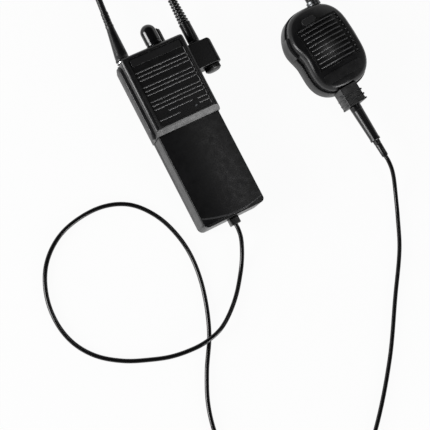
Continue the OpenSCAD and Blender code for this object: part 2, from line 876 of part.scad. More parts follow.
module mic_gasket() color("#060607") at_mic() {
    difference() {
        slab(mic_rear_t, mic_front_z) difference() {
            mic_plan(mic_inset + 0.5);
            mic_plan(mic_inset + 0.5 + mic_gasket_w);
        }
        mic_key_cut();
    }
}

module mic_front_shell() color("#1b1c1f") at_mic() {
    difference() {
        intersection() {
            slab(mic_front_z, mic_t) mic_plan(mic_inset);
            dome(mic_dome_r);
        }
        difference() {
            intersection() {
                slab(mic_front_z - 1, mic_t) mic_plan(mic_inset + mic_wall);
                dome(mic_dome_r - mic_wall - 0.3);
            }
            mic_bosses(boss_r, mic_board_top, mic_t);
        }
        mic_bosses(screw_r + seat, 0, screw_sink + mic_screw_len + 1);
        slab(mic_rear_t, mic_t + 1) {
            translate([pill_x, pill_y]) stadium(pill_w + 2 * gap, pill_h + 2 * gap);
            for (i = [0:mic_ribs - 2]) translate([0, mic_rib_y - (i + 0.5) * mic_rib_pitch])
                stadium(mic_speaker_d - 8, 1.7);
        }
        mic_key_cut();
    }
    intersection() {
        slab(mic_front_z + 4, mic_t + 2) {
            for (i = [0:mic_ribs - 1]) translate([mic_rib_x0, mic_rib_y - i * mic_rib_pitch - 0.7])
                square([mic_rib_x1 - mic_rib_x0, 1.4]);
            for (i = [0:mic_ribs - 1]) translate([26, mic_rib_y - i * mic_rib_pitch]) circle(0.9);
        }
        difference() {
            dome(mic_dome_r + 0.7);
            dome(mic_dome_r - 0.5);
        }
    }
}

module mic_label_plate() color("#1f2023") at_mic() {
    intersection() {
        slab(mic_front_z + 4, mic_t + 2) translate([mic_label_x, mic_label_y]) round_rect(46, 10, 2);
        difference() {
            dome(mic_dome_r + 0.4);
            dome(mic_dome_r + seat);
        }
    }
}

module mic_speaker() color("#3a3b3d") at_mic() {
    translate([0, mic_speaker_y, mic_t - 5.7]) loudspeaker(mic_speaker_d, 13);
}

module mic_board() color("#1f4d33") at_mic() {
    difference() {
        slab(mic_board_z, mic_board_top) translate([mic_off, 0]) round_rect(49, 82, 10);
        mic_bosses(screw_r + 0.2, 0, mic_t);
    }
    translate([8, -20, mic_board_top - eps]) cube([8, 8, 1.4]);
    translate([-10, -24, mic_board_top - eps]) cube([6, 10, 1.2]);
}

module mic_capsule() color("#a8abad") at_mic() {
    translate([10, -33, mic_board_top]) cylinder(r = 3, h = 3);
}

module mic_ptt_bar() color("#0c0c0d") at_mic() {
    slab(mic_key_z0, mic_key_z1)
        mic_key_plan(grip_r - mic_key_in - mic_key_flange_t, grip_r + mic_key_proud, 0);
    slab(mic_key_z0 - 1.5, mic_key_z1 + 1.5)
        mic_key_plan(grip_r - mic_key_in - mic_key_flange_t, grip_r - mic_key_in, 1.5);
}

module mic_ptt_switch() color("#5a5d60") at_mic() {
    tip_x = grip_x - grip_r + mic_key_in + mic_key_flange_t + key_travel + 0.7;
    translate([tip_x, grip_y - 4, mic_board_top]) cube([9, 8, 6]);
}

module mic_button() color("#26272a") at_mic() {
    slab(pill_flange_z - eps, pill_top) translate([pill_x, pill_y]) stadium(pill_w, pill_h);
    slab(pill_flange_z - pill_flange_t, pill_flange_z) translate([pill_x, pill_y])
        stadium(pill_w + 2.4, pill_h + 2.4);
}

module mic_button_switch() color("#5a5d60") at_mic() {
    translate([pill_x - 3, pill_y - 3, mic_board_top])
        cube([6, 6, pill_flange_z - pill_flange_t - pill_travel - 0.1 - mic_board_top]);
}

module mic_screws() color("#55585c") at_mic() {
    for (x = [-1, 1], y = [-1, 1])
        translate([mic_off + x * mic_screw_x, y * mic_screw_y, screw_sink - screw_head_h])
            screw(screw_head_r, screw_head_h, screw_r, mic_screw_len);
}

// What the shells leave of a piece that stands against the edge of the microphone
module clear_of_shells() {
    difference() {
        children();
        slab(-1, mic_front_z) mic_plan(-seat);
        slab(mic_front_z - 1, mic_t + 4) mic_plan(mic_inset - seat);
    }
}

module mic_cord_block() color("#141517") at_mic() {
    clear_of_shells() {
        translate([cord_block_x - cord_block_w / 2, cord_block_y, cord_block_z0])
            cube([cord_block_w, 24, cord_block_z1 - cord_block_z0]);
        for (y = [0, 5, 10.5])
            translate([cord_block_x - cord_block_w / 2 - 0.8, cord_block_y + y, cord_block_z0 - 0.8])
            cube([cord_block_w + 1.6, 1.6, cord_block_z1 - cord_block_z0 + 1.6]);
    }
}

module mic_strain_relief() color("#1a1b1d") at_mic() {
    along_y(relief_x, cord_block_y - relief_run, relief_z) {
        cylinder(r1 = 5, r2 = 6.2, h = relief_run);
        cylinder(r = 5.6, h = 1.8);
    }
}

module mic_crimp() color("#151617") at_mic() {
    along_y(relief_x, cord_block_y - relief_run - crimp_run, relief_z)
        cylinder(r1 = 3.2, r2 = 3.8, h = crimp_run);
}

module mic_top_collar() color("#8f9295") at_mic() {
    clear_of_shells() along_y(collar_x, collar_y - 10, relief_z) cylinder(r = 7.2, h = 10);
}

module mic_top_boot() color("#141517") at_mic() {
    along_y(collar_x, collar_y, relief_z) cylinder(r1 = 5.8, r2 = 4.4, h = top_boot_run);
}

// ---------- leads ----------

// One point of a smooth curve through four neighbouring points, t from the second to the third
function curve_point(a, b, c, d, t) =
    0.5 * (2 * b + (c - a) * t + (2 * a - 5 * b + 4 * c - d) * t * t + (3 * b - a - 3 * c + d) * t * t * t);

// The curve through a whole route, with a step for about every ring_pitch
function curve(route) = let (last = len(route) - 1) [
    for (i = [0:last - 1]) let (n = max(1, round(norm(route[i + 1] - route[i]) / ring_pitch)))
        for (k = [0:n - 1])
            curve_point(route[max(i - 1, 0)], route[i], route[i + 1], route[min(i + 2, last)], k / n),
    route[last]
];

function unit(v) = v / norm(v);

// A round tube along a route, its two end faces square to the route's first and last steps
module lead(route, sides = 8) {
    line = curve(route);
    rings = len(line);
    last = len(route) - 1;
    points = [
        for (i = [0:rings - 1])
            let (start = route[1] - route[0], finish = route[last] - route[last - 1])
            let (ahead = unit(i == 0 ? start : i == rings - 1 ? finish : line[i + 1] - line[i - 1]))
            let (across = unit(cross(ahead, [0, 0, 1])), up = cross(across, ahead))
            for (k = [0:sides - 1])
                line[i] + lead_r * (cos(360 * k / sides) * across + sin(360 * k / sides) * up)
    ];
    skin = [
        for (i = [0:rings - 2], k = [0:sides - 1])
            let (a = i * sides + k, b = i * sides + (k + 1) % sides) [b, b + sides, a + sides, a]
    ];
    ends = [[for (k = [sides - 1:-1:0]) k], [for (k = [0:sides - 1]) (rings - 1) * sides + k]];
    polyhedron(points, concat(skin, ends));
}

module lead_main() color("#101011") lead(lead_route);

module lead_upper() color("#101011") lead(upper_route);

rear_case();
head_cover();
body_cover();
base_cap();
base_gland();
grille_panel();
speaker_cloth();
label_plate();
status_lens();
radio_speaker();
circuit_board();
rf_shield();
battery_tray();
battery_cells();
cell_contacts();
case_screws();
base_screws();
clip_inserts();
ptt_seal();
ptt_pad();
ptt_switch();
volume_pot();
volume_shaft();
volume_knob();
selector_switch();
selector_shaft();
selector_knob();
antenna_bush();
antenna_base();
antenna_whip();
side_socket();
connector_block();
coin_screw();
cable_boot();
ribbed_relief();
mic_rear_shell();
mic_gasket();
mic_front_shell();
mic_label_plate();
mic_speaker();
mic_board();
mic_capsule();
mic_ptt_bar();
mic_ptt_switch();
mic_button();
mic_button_switch();
mic_screws();
mic_cord_block();
mic_strain_relief();
mic_crimp();
mic_top_collar();
mic_top_boot();
lead_main();
lead_upper();
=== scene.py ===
import json
import math
import bpy
import bmesh
from mathutils import Matrix, Vector


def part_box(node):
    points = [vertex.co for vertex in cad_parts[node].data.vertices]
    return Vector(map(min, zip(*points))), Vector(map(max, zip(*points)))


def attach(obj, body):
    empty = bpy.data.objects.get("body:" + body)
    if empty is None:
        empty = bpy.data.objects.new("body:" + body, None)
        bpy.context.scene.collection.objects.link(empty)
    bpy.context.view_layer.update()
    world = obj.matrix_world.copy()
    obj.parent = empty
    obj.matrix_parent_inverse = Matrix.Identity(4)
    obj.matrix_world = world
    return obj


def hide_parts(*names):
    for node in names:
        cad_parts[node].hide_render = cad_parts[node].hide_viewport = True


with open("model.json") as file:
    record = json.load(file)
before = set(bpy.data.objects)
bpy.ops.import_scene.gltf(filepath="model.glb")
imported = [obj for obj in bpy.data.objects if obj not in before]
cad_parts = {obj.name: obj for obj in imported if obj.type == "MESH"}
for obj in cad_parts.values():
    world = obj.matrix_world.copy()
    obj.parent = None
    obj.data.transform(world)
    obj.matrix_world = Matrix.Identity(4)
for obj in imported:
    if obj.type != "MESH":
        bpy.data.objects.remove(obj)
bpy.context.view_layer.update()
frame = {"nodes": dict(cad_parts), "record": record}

MM = 0.001


def mm(*values):
    """Millimetres to a vector in metres."""
    return Vector([v * MM for v in values])


# ---------- camera ----------

def set_camera():
    """A long lens above the table, rolled so that the radio leans to the left."""
    place = mm(-287, -163.6, 1022.7)
    target = mm(-11, -82.8, 0)
    roll = math.radians(-27.28)
    ahead = (target - place).normalized()
    right = ahead.cross(Vector((0, 1, 0))).normalized()
    up = right.cross(ahead)
    turned_right = math.cos(roll) * right + math.sin(roll) * up
    turned_up = math.cos(roll) * up - math.sin(roll) * right
    data = bpy.data.cameras.new("camera")
    data.lens = 87.9
    data.sensor_width = 36
    data.clip_end = 20
    camera = bpy.data.objects.new("camera", data)
    frame_axes = Matrix((turned_right, turned_up, -ahead)).transposed()
    camera.matrix_world = Matrix.Translation(place) @ frame_axes.to_4x4()
    bpy.context.collection.objects.link(camera)
    bpy.context.scene.camera = camera


# ---------- finishes ----------

def new_material(name):
    material = bpy.data.materials.new(name)
    material.use_nodes = True
    tree = material.node_tree
    return material, tree, tree.nodes["Principled BSDF"]


def noise(tree, scale, detail=4.0, stretch=None):
    """Noise over the piece's own coordinates, in metres."""
    coords = tree.nodes.new("ShaderNodeTexCoord")
    node = tree.nodes.new("ShaderNodeTexNoise")
    node.inputs["Scale"].default_value = scale
    node.inputs["Detail"].default_value = detail
    if stretch:
        mapping = tree.nodes.new("ShaderNodeMapping")
        mapping.inputs["Scale"].default_value = stretch
        tree.links.new(coords.outputs["Object"], mapping.inputs["Vector"])
        tree.links.new(mapping.outputs["Vector"], node.inputs["Vector"])
    else:
        tree.links.new(coords.outputs["Object"], node.inputs["Vector"])
    return node.outputs["Fac"]


def ramp(tree, value, stops):
    node = tree.nodes.new("ShaderNodeValToRGB")
    elements = node.color_ramp.elements
    while len(elements) < len(stops):
        elements.new(0.5)
    for element, (place, colour) in zip(elements, stops):
        element.position = place
        element.color = (*colour, 1)
    tree.links.new(value, node.inputs["Fac"])
    return node.outputs["Color"]


def spread(tree, value, low, high):
    node = tree.nodes.new("ShaderNodeMapRange")
    node.inputs["From Min"].default_value = 0.3
    node.inputs["From Max"].default_value = 0.7
    node.inputs["To Min"].default_value = low
    node.inputs["To Max"].default_value = high
    tree.links.new(value, node.inputs["Value"])
    return node.outputs["Result"]


def raise_grain(tree, shader, height, strength, depth):
    node = tree.nodes.new("ShaderNodeBump")
    node.inputs["Strength"].default_value = strength
    node.inputs["Distance"].default_value = depth
    tree.links.new(height, node.inputs["Height"])
    tree.links.new(node.outputs["Normal"], shader.inputs["Normal"])


def moulding(name, colour, rough=(0.42, 0.58), grain=2600, depth=0.00012, strength=0.35, worn=1.7,
             specular=0.5):
    """Moulded plastic or rubber: a fine grain, cloudy handling marks and paler worn specks."""
    material, tree, shader = new_material(name)
    paler = tuple(min(1, c * worn) for c in colour)
    darker = tuple(c * 0.75 for c in colour)
    clouds = noise(tree, 45, 6)
    tree.links.new(ramp(tree, clouds, [(0.3, darker), (0.55, colour), (0.8, paler)]),
                   shader.inputs["Base Color"])
    tree.links.new(spread(tree, noise(tree, 160, 5), *rough), shader.inputs["Roughness"])
    shader.inputs["Specular IOR Level"].default_value = specular
    raise_grain(tree, shader, noise(tree, grain, 3), strength, depth)
    return material


def metal(name, colour, rough=(0.22, 0.4), stretch=(1, 1, 1), grain=1800):
    """Turned or plated metal with fine tool marks and dull patches."""
    material, tree, shader = new_material(name)
    shader.inputs["Metallic"].default_value = 1
    darker = tuple(c * 0.7 for c in colour)
    tree.links.new(ramp(tree, noise(tree, 120, 5), [(0.35, darker), (0.65, colour)]),
                   shader.inputs["Base Color"])
    tree.links.new(spread(tree, noise(tree, 300, 4), *rough), shader.inputs["Roughness"])
    raise_grain(tree, shader, noise(tree, grain, 2, stretch), 0.2, 0.00005)
    return material


def woven_cloth(name, colour):
    """Speaker cloth: two crossed waves make the weave."""
    material, tree, shader = new_material(name)
    coords = tree.nodes.new("ShaderNodeTexCoord")
    waves = []
    for direction in ("X", "Y"):
        wave = tree.nodes.new("ShaderNodeTexWave")
        wave.bands_direction = direction
        wave.inputs["Scale"].default_value = 700
        tree.links.new(coords.outputs["Object"], wave.inputs["Vector"])
        waves.append(wave.outputs["Fac"])
    crossed = tree.nodes.new("ShaderNodeMath")
    crossed.operation = "MULTIPLY"
    tree.links.new(waves[0], crossed.inputs[0])
    tree.links.new(waves[1], crossed.inputs[1])
    tree.links.new(ramp(tree, crossed.outputs[0], [(0.1, tuple(c * 0.4 for c in colour)), (0.9, colour)]),
                   shader.inputs["Base Color"])
    shader.inputs["Roughness"].default_value = 0.85
    raise_grain(tree, shader, crossed.outputs[0], 0.6, 0.0002)
    return material


def lens_glass(name):
    material, tree, shader = new_material(name)
    tree.links.new(ramp(tree, noise(tree, 400, 2), [(0.3, (0.2, 0.21, 0.22)), (0.7, (0.32, 0.33, 0.34))]),
                   shader.inputs["Base Color"])
    shader.inputs["Roughness"].default_value = 0.08
    shader.inputs["Transmission Weight"].default_value = 0.5
    return material


def make_finishes():
    return {
        "case_black": moulding("case_black", (0.0045, 0.0045, 0.005), (0.3, 0.4),
                               1500, 0.00010, 0.3, 1.5, 0.32),
        "head_black": moulding("head_black", (0.006, 0.006, 0.0065), (0.28, 0.4),
                               2600, 0.00006, 0.25, 1.6, 0.4),
        "panel_black": moulding("panel_black", (0.004, 0.004, 0.0045), (0.26, 0.36),
                                3200, 0.00004, 0.2, 1.5, 0.3),
        "cloth_black": woven_cloth("cloth_black", (0.006, 0.006, 0.006)),
        "plate_grey": moulding("plate_grey", (0.008, 0.008, 0.0085), (0.32, 0.42),
                               3800, 0.00003, 0.2, 1.4, 0.35),
        "lens_clear": lens_glass("lens_clear"),
        "knob_gloss": moulding("knob_gloss", (0.004, 0.004, 0.0045), (0.1, 0.17), 900, 0.00002, 0.1, 1.2),
        "knob_matte": moulding("knob_matte", (0.006, 0.006, 0.0065), (0.32, 0.45),
                               2200, 0.00008, 0.3, 1.5, 0.4),
        "key_rubber": moulding("key_rubber", (0.010, 0.010, 0.011), (0.38, 0.5),
                               3000, 0.00006, 0.25, 1.4, 0.4),
        "soft_black": moulding("soft_black", (0.0045, 0.0045, 0.005), (0.28, 0.38),
                               1800, 0.00004, 0.2, 1.4, 0.42),
        "lead_black": moulding("lead_black", (0.003, 0.003, 0.0032), (0.2, 0.26),
                               700, 0.000004, 0.04, 1.3, 0.4),
        "steel_dark": metal("steel_dark", (0.16, 0.165, 0.17), (0.3, 0.45)),
        "steel_bright": metal("steel_bright", (0.6, 0.61, 0.63), (0.2, 0.36), (1, 12, 1)),
        "nickel": metal("nickel", (0.66, 0.66, 0.67), (0.14, 0.28)),
        "brass": metal("brass", (0.72, 0.53, 0.24), (0.2, 0.38)),
        "board_green": moulding("board_green", (0.02, 0.09, 0.045), (0.3, 0.4), 1200, 0.00005, 0.2),
        "tray_grey": moulding("tray_grey", (0.07, 0.07, 0.075), (0.4, 0.55)),
        "cell_grey": moulding("cell_grey", (0.2, 0.22, 0.24), (0.25, 0.4), 900, 0.00004, 0.2, 1.2),
        "mic_black": moulding("mic_black", (0.0065, 0.0065, 0.007), (0.32, 0.42),
                              2400, 0.00008, 0.3, 1.5, 0.42),
        # Paler, glossier black for the grille bars, microphone ribs and lower-front crease: its lighter
        # colour is a painted highlight for the light lines they catch.
        "ribs_painted_highlight": moulding("ribs_painted_highlight", (0.05, 0.05, 0.052), (0.2, 0.26), 1500, 0.000004, 0.04, 1.3, 0.7),
        "mic_front_black": moulding("mic_front_black", (0.005, 0.005, 0.0055), (0.27, 0.37),
                                    2800, 0.00005, 0.22, 1.5, 0.38),
    }


def body_of(node):
    return next(body for body, nodes in frame["record"]["behaviour"]["bodies"].items() if node in nodes)


def slot_of(node):
    return next(part["material_slot"] for part in frame["record"]["subparts"] if part["node"] == node)


# ---------- making pieces ----------

def settle(bm, name, node, more_nodes=(), smooth=40, bevel=None, segments=2):
    """Turns a bmesh into a finished piece that stands for a node and moves with its body."""
    bmesh.ops.recalc_face_normals(bm, faces=bm.faces)
    mesh = bpy.data.meshes.new(name)
    bm.to_mesh(mesh)
    bm.free()
    piece = bpy.data.objects.new(name, mesh)
    bpy.context.collection.objects.link(piece)
    mesh.materials.append(finishes[slot_of(node)])
    mesh.shade_smooth()
    mesh.set_sharp_from_angle(angle=math.radians(smooth))
    if bevel:
        edges = piece.modifiers.new("soft_edges", "BEVEL")
        edges.width = bevel * MM
        edges.segments = segments
        edges.limit_method = "ANGLE"
        edges.angle_limit = math.radians(smooth)
        edges.harden_normals = True
    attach(piece, body_of(node))
    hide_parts(node, *more_nodes)
    return piece


def finer(node, bevel=0.35, segments=2, smooth=32):
    """A copy of a node with its flats joined and its sharp edges softened."""
    bm = bmesh.new()
    bm.from_mesh(frame["nodes"][node].data)
    bmesh.ops.remove_doubles(bm, verts=bm.verts, dist=0.000004)
    bmesh.ops.dissolve_limit(bm, angle_limit=math.radians(0.6), verts=bm.verts, edges=bm.edges)
    return settle(bm, node + "_fine", node, (), smooth, bevel, segments)


def turned(name, node, profile, foot, direction, segments=48, smooth=40, more=None):
    """Spins a profile of (radius, distance) in mm about a line from foot."""
    bm = bmesh.new()
    points = [bm.verts.new(mm(r, 0, z)) for r, z in profile]
    edges = [bm.edges.new(pair) for pair in zip(points, points[1:])]
    bmesh.ops.spin(bm, geom=points + edges, cent=(0, 0, 0), axis=(0, 0, 1), angle=2 * math.pi,
                   steps=segments, use_merge=True)
    bmesh.ops.remove_doubles(bm, verts=bm.verts, dist=0.000005)
    if more:
        more(bm)
    turn = Vector((0, 0, 1)).rotation_difference(direction.normalized())
    bmesh.ops.transform(bm, matrix=Matrix.Translation(foot) @ turn.to_matrix().to_4x4(), verts=bm.verts)
    return settle(bm, name, node, (), smooth)


def arc(cx, cz, radius, start, end, steps=6):
    """Points of an arc in a profile, angles in degrees from the radius direction."""
    return [(cx + radius * math.cos(math.radians(start + (end - start) * k / steps)),
             cz + radius * math.sin(math.radians(start + (end - start) * k / steps)))
            for k in range(steps + 1)]


def box(bm, low, high):
    """A box in mm between two corners."""
    made = bmesh.ops.create_cube(bm, size=1)["verts"]
    size = [h - l for l, h in zip(low, high)]
    centre = [(h + l) / 2 for l, h in zip(low, high)]
    bmesh.ops.scale(bm, vec=mm(*size), verts=made)
    bmesh.ops.translate(bm, vec=mm(*centre), verts=made)
    return made


# ---------- leads ----------

TABLE = 2.5
CROSS = 7.6
MIC = Vector((173, 22))
MIC_YAW = math.radians(4)


def mic_point(x, y, z=17.0):
    """A point of the microphone's own frame, in the radio's frame, in mm."""
    return (MIC.x + x * math.cos(MIC_YAW) - y * math.sin(MIC_YAW),
            MIC.y + x * math.sin(MIC_YAW) + y * math.cos(MIC_YAW), z)


MAIN_ROUTE = [
    (0, -101.5, 14), (0, -106.5, 14), (-1, -115, 12.4), (-4, -125, 8.4), (-9, -136, 4.6), (-16, -147, 2.8),
    (-30, -164, 3.4), (-46, -178, 5.2), (-61, -187, 7), (-76, -191, CROSS), (-92, -192, 6.4),
    (-115, -189, 3.4), (-136, -182, TABLE), (-160, -171, TABLE), (-182, -154, TABLE), (-196, -132, TABLE),
    (-201, -106, TABLE), (-197, -78, TABLE), (-184, -53, TABLE), (-162, -35, TABLE), (-136, -27, TABLE),
    (-108, -27, TABLE), (-84, -37, TABLE), (-66, -58, TABLE), (-56, -84, TABLE), (-53, -112, TABLE),
    (-58, -146, TABLE), (-72, -185, TABLE), (-92, -218, TABLE), (-106, -248, TABLE), (-113, -280, TABLE),
    (-113, -310, TABLE), (-103, -338, TABLE), (-84, -361, TABLE), (-57, -376, TABLE), (-27, -380, TABLE),
    (3, -371, TABLE), (34, -348, TABLE), (82, -294, TABLE), (120, -240, TABLE), (148, -200, TABLE),
    (164, -168, TABLE), (171, -151, 4), (174.5, -140, 7), (176.8, -130, 11), (177.6, -121, 14.8),
    mic_point(-5, -134), mic_point(-5, -129),
]
UPPER_ROUTE = [
    (47.5, 134, 20), (47.5, 139, 20), (47.8, 148, 18.2), (48.8, 158, 13.2), (51, 168, 7.4), (55, 179, 3.4),
    (63, 191, TABLE), (75, 202, TABLE), (91, 209, TABLE), (109, 212, TABLE), (128, 209, TABLE),
    (146, 201, TABLE), (161, 188, TABLE), (172, 172, 2.6), (179, 157, 4.4), (182, 145, 7.6),
    (183.2, 134, 11.6), (183.5, 124, 14.6), (183.4, 115, 16.6), mic_point(16.4, 84), mic_point(16.4, 79),
]
LEAD_D = 4.5


def smooth_lead(name, node, route):
    """One round lead along its route: an open Bezier with its handles along the route."""
    data = bpy.data.curves.new(name, "CURVE")
    data.dimensions = "3D"
    data.bevel_depth = LEAD_D / 2 * MM
    data.bevel_resolution = 4
    data.resolution_u = 8
    data.use_fill_caps = True
    spline = data.splines.new("BEZIER")
    points = [mm(*p) for p in route]
    spline.bezier_points.add(len(points) - 1)
    last = len(points) - 1
    for i, point in enumerate(spline.bezier_points):
        before = points[max(i - 1, 0)]
        after = points[min(i + 1, last)]
        along = (after - before).normalized()
        point.handle_left_type = point.handle_right_type = "FREE"
        point.co = points[i]
        point.handle_left = points[i] - along * (points[i] - before).length / 3
        point.handle_right = points[i] + along * (after - points[i]).length / 3
    lead = bpy.data.objects.new(name, data)
    bpy.context.collection.objects.link(lead)
    data.materials.append(finishes["lead_black"])
    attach(lead, "radio")
    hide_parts(node)
    return lead


# ---------- radio ----------

def fine_radio():
    """The radio's mouldings and fittings, their edges softened."""
    for node, width in (("rear_case", 0.6), ("head_cover", 0.5), ("body_cover", 0.5), ("base_cap", 0.7),
                        ("base_gland", 0.6), ("label_plate", 0.3), ("connector_block", 0.8),
                        ("side_socket", 0.2), ("antenna_bush", 0.3), ("selector_knob", 0.3),
                        ("rf_shield", 0.2), ("circuit_board", 0.1), ("battery_tray", 0.3)):
        finer(node, width)


def grille():
    """Sunk plate with a fine frame, and round bars across it: three groups of three and four short ones."""
    low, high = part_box("grille_panel")
    x0, x1, top = low.x / MM, high.x / MM, high.z / MM
    plate_top = top - 0.9
    plate = bmesh.new()
    box(plate, (x0, low.y / MM, low.z / MM), (x1, high.y / MM, plate_top))
    corners = [e for e in plate.edges if abs(e.verts[0].co.z - e.verts[1].co.z) > 0.0005]
    bmesh.ops.bevel(plate, geom=corners, offset=3 * MM, segments=6, profile=0.5, affect="EDGES", material=-1)
    face = max(plate.faces, key=lambda f: f.calc_center_median().z)
    bmesh.ops.inset_region(plate, faces=[face], thickness=0.9 * MM, depth=0)
    bmesh.ops.inset_region(plate, faces=[face], thickness=0.35 * MM, depth=-0.45 * MM)
    settle(plate, "grille_plate", "grille_panel", (), 30)

    first = high.y / MM - 15.8
    left_end, right_end = x0 + 1.4, x1 - 1.4
    bars = [(left_end, right_end, first - 16.2 * group - 4.25 * k) for group in range(3) for k in range(3)]
    band = first - 46.5
    bars += [(-14, 13, band), (18, right_end, band - 0.8), (18, right_end, band - 5.4)]
    bars += [(left_end, -4, band - 6.4)]
    bm = bmesh.new()
    for left, right, y in bars:
        box(bm, (left, y - 0.65, plate_top - 0.5), (right, y + 0.65, top))
    piece = settle(bm, "grille_bars", "grille_panel", (), 40, 0.6, 5)
    # The bars take the paler finish: their lighter colour is a painted highlight.
    piece.data.materials[0] = finishes["ribs_painted_highlight"]


def foot_crease():
    """Shallow raised arc across the lower front."""
    bm = bmesh.new()
    half, count = 33.0, 36
    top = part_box("body_cover")[1].z / MM
    rails = []
    for k in range(count + 1):
        x = -half + 2 * half * k / count
        y = -91.6 + 8.2 * (x - 5.5) ** 2 / (38.5 ** 2)
        crown = 300 - math.sqrt(300 ** 2 - x * x)
        rails.append([bm.verts.new(mm(x, y + across, top - crown - sink))
                      for across, sink in ((-1.1, 0.25), (-0.35, -0.22), (0.35, -0.22), (1.6, 0.25))])
    for a, b in zip(rails, rails[1:]):
        for k in range(3):
            bm.faces.new((a[k], a[k + 1], b[k + 1], b[k]))
    bm.faces.new(rails[0])
    bm.faces.new(rails[-1])
    for a, b in zip(rails, rails[1:]):
        bm.faces.new((a[3], a[0], b[0], b[3]))
    crease = settle(bm, "foot_crease", "body_cover", (), 50)
    # The crease takes the paler finish: its lighter colour is a painted highlight for the light line along
    # it.
    crease.data.materials[0] = finishes["ribs_painted_highlight"]


def talk_key():
    """Long oval pad, its face crowned and its edge rounded."""
    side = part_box("ptt_pad")[0].x
    bm = bmesh.new()
    bm.from_mesh(frame["nodes"]["ptt_pad"].data)
    bmesh.ops.remove_doubles(bm, verts=bm.verts, dist=0.000004)
    bmesh.ops.dissolve_limit(bm, angle_limit=math.radians(0.6), verts=bm.verts, edges=bm.edges)
    rim = [e for e in bm.edges if all(abs(v.co.x - side) < 0.00001 for v in e.verts)]
    bmesh.ops.bevel(bm, geom=rim, offset=1.6 * MM, segments=5, profile=0.5, affect="EDGES", material=-1)
    settle(bm, "talk_key", "ptt_pad", (), 40)


def volume_knob():
    low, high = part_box("volume_knob")
    r = (high.x - low.x) / 2 / MM
    length = (high.y - low.y) / MM
    foot = Vector(((low.x + high.x) / 2, low.y, (low.z + high.z) / 2))
    profile = [(3, 0), (r - 0.6, 0), (r, 0.6), (r, 2.2), (r - 0.5, 2.6), (r - 0.5, 3.4), (r, 3.8)]
    profile += arc(0, length - r, r, 0, 90, 14)
    turned("volume_knob_turned", "volume_knob", profile, foot, Vector((0, 1, 0)), 64)


def antenna():
    """The tapered foot, the bead rings and the whip, turned about the leaning line."""
    foot = mm(-27.5, 94, 18)
    lean = math.radians(5.6)
    direction = Vector((math.sin(lean), math.cos(lean), 0))
    base = [(0, 2.1), (7.3, 2.1), (7.55, 2.7), (7.45, 3.6), (7.1, 4), (6.9, 8)]
    base += [(6.9 - 2.7 * k / 6, 8 + 29 * k / 6) for k in range(1, 7)]
    base += [(4.1, 39), (4.4, 39.6), (4.4, 40.4), (4, 41), (0, 41)]
    turned("antenna_foot", "antenna_base", base, foot, direction, 48)
    whip = [(0, 41), (3.3, 41)]
    for k in range(4):
        start, r = 41.6 + 3.6 * k, 4.5 - 0.2 * k
        whip += [(3.3, start), (r - 0.7, start)] + arc(r - 0.7, start + 1.3, 1.3, -90, 90, 6)[1:-1]
        whip = [(min(p[0], r), p[1]) for p in whip] + [(r - 0.7, start + 2.6), (3.3, start + 2.6)]
    whip += [(3.3, 60), (3.2, 162 - 0.6)] + arc(0, 161.6, 3.2, 0, 90, 8)
    turned("antenna_whip_turned", "antenna_whip", whip, foot, direction, 40)


def coin_fastener():
    """Round fastener with a knurled rim, turned with a small step on its face."""
    low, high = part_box("coin_screw")
    r = (high.x - low.x) / 2 / MM
    foot = Vector(((low.x + high.x) / 2, low.y, (low.z + high.z) / 2))
    length = (high.y - low.y) / MM
    profile = [(0, 0), (r - 2.2, 0), (r - 1.6, 0.3), (r - 0.5, 1.2), (r, 1.6), (r, 5), (r - 0.4, 5.4),
               (4, 5.4), (4, length - 0.4), (3.6, length), (0, length)]

    def knurl(bm):
        """Pulls in every other row of the rim."""
        for v in bm.verts:
            turn = math.atan2(v.co.y, v.co.x)
            out = math.hypot(v.co.x, v.co.y)
            on_rim = out > (r - 0.3) * MM
            if on_rim and round(turn / (2 * math.pi) * 96) % 2:
                v.co.x *= 0.965
                v.co.y *= 0.965

    turned("coin_fastener", "coin_screw", profile, foot, Vector((0, 1, 0)), 96, 30, knurl)


def side_boots():
    """Smooth cable boot and the ribbed relief that follows it."""
    for node, name in (("cable_boot", "boot_turned"), ("ribbed_relief", "relief_turned")):
        low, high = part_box(node)
        foot = Vector(((low.x + high.x) / 2, low.y, (low.z + high.z) / 2))
        length = (high.y - low.y) / MM
        if node == "cable_boot":
            profile = [(0, 0), (5.7, 0), (6.2, 0.6), (6.1, 3), (5.9, 3.4), (6.1, 3.9), (5.8, length - 2.2),
                       (6.05, length - 1.6), (6.05, length - 0.4), (5.7, length), (0, length)]
        else:
            ribs = 8
            pitch = length / ribs
            profile = [(0, 0), (3.4, 0)]
            for k in range(ribs):
                r = 5.65 - 0.17 * k
                z = pitch * k + pitch - 1.9
                profile += [(3.4, z), (r - 0.4, z), (r, z + 0.4), (r, z + 1.5), (r - 0.4, z + 1.9)]
                profile += [(3.4, z + 1.9)] if k < ribs - 1 else []
            profile += [(0, length)]
        turned(name, node, profile, foot, Vector((0, 1, 0)), 40, 35)


# ---------- speaker microphone ----------

MIC_BACK = 16.0
MIC_FRONT = 18.2
MIC_TOP = 38.0
DOME_R = 95.0
RIB_PITCH = 4.95
FIRST_RIB = 25.6


def mic_reach(turn, inset=0.0):
    """The outline's reach, its waist drawn smooth by averaging over a few degrees."""
    return sum(mic_edge(turn + math.radians(d), inset) for d in range(-12, 13, 3)) / 9


